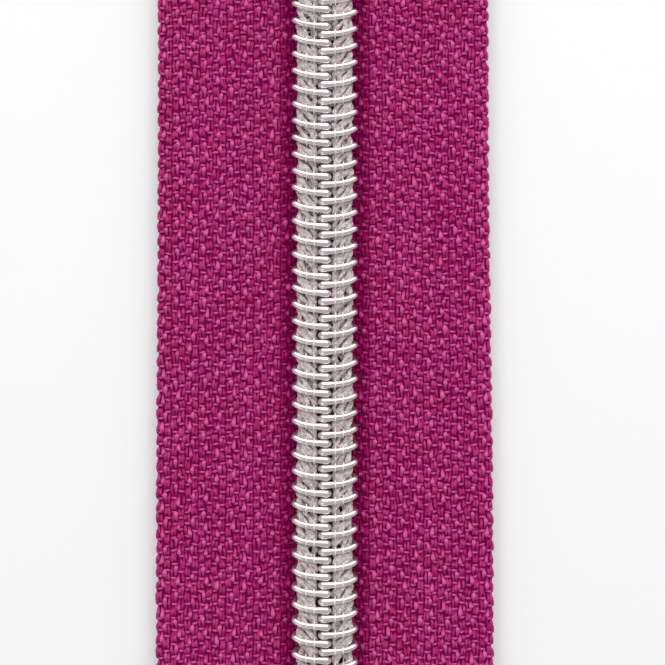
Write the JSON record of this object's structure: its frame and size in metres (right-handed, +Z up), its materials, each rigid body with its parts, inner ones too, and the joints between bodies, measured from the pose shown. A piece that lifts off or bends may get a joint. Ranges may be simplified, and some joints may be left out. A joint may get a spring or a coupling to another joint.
{
  "type": "coil zipper",
  "caption": "Closed-end nylon coil zipper: two woven tapes with interlocking coils, an auto-lock slider with a hinged pull, and end stops.",
  "frame": {"origin": "middle of the zipper's bounding box on the surface it lies on, under the slider's flat underside", "axes": "+X across the tapes, +Y along the chain towards the end that opens, +Z up, from the tapes to the coil side"},
  "size_m": [0.0386, 0.14, 0.0084],
  "materials": {
    "tape": "woven polyester, magenta, slightly lustrous",
    "coil": "metallised silver monofilament, bright",
    "filler_cord": "twisted grey cord",
    "thread": "twisted grey sewing thread",
    "stop_metal": "nickel-plated strip, satin",
    "slider_metal": "nickel-plated zinc alloy, polished",
    "spring_steel": "bright spring steel"
  },
  "bodies": {
    "closed_end": {"left_tape_tail": "tape", "right_tape_tail": "tape", "bottom_stop": "stop_metal"},
    "left_stringer": {"left_tape": "tape", "left_coil": "coil", "left_filler_cord": "filler_cord", "left_inner_needle_thread": "thread", "left_outer_needle_thread": "thread", "left_looper_thread": "thread", "left_top_stop": "stop_metal"},
    "right_stringer": {"right_tape": "tape", "right_coil": "coil", "right_filler_cord": "filler_cord", "right_inner_needle_thread": "thread", "right_outer_needle_thread": "thread", "right_looper_thread": "thread", "right_top_stop": "stop_metal"},
    "slider": {"slider_body": "slider_metal", "slider_crown": "slider_metal", "lock_spring": "spring_steel"},
    "lock": {"lock_pawl": "spring_steel"},
    "pull": {"pull_tab": "slider_metal"}
  },
  "joints": [
    {"name": "slider_travel", "type": "slide", "parent": "closed_end", "child": "slider", "axis": [0, 1, 0], "range_m": [-0.0855, 0], "deforming": ["left_tape", "right_tape", "left_coil", "right_coil", "left_filler_cord", "right_filler_cord", "left_inner_needle_thread", "left_outer_needle_thread", "right_inner_needle_thread", "right_outer_needle_thread", "left_looper_thread", "right_looper_thread"]},
    {"name": "left_swing", "type": "hinge", "parent": "closed_end", "child": "left_stringer", "pos_m": [0, -0.0447, 0.00118], "axis": [0, 0, 1], "range_deg": [0, 12]},
    {"name": "right_swing", "type": "hinge", "parent": "closed_end", "child": "right_stringer", "pos_m": [0, -0.0447, 0.00118], "axis": [0, 0, 1], "range_deg": [-12, 0]},
    {"name": "pull_swing", "type": "hinge", "parent": "slider", "child": "pull", "pos_m": [0, 0.0415, 0.00569], "axis": [1, 0, 0], "range_deg": [0, 180]},
    {"name": "lock_lift", "type": "slide", "parent": "slider", "child": "lock", "axis": [0, 0, 1], "range_m": [0, 0.00055], "stiffness_N_per_m": 200, "springref_m": -0.0005, "deforming": ["lock_spring"]}
  ],
  "couplings": [
    {"joint": "left_swing", "follows": "slider_travel", "rad_per_m": -2.4495},
    {"joint": "right_swing", "follows": "slider_travel", "rad_per_m": 2.4495}
  ]
}
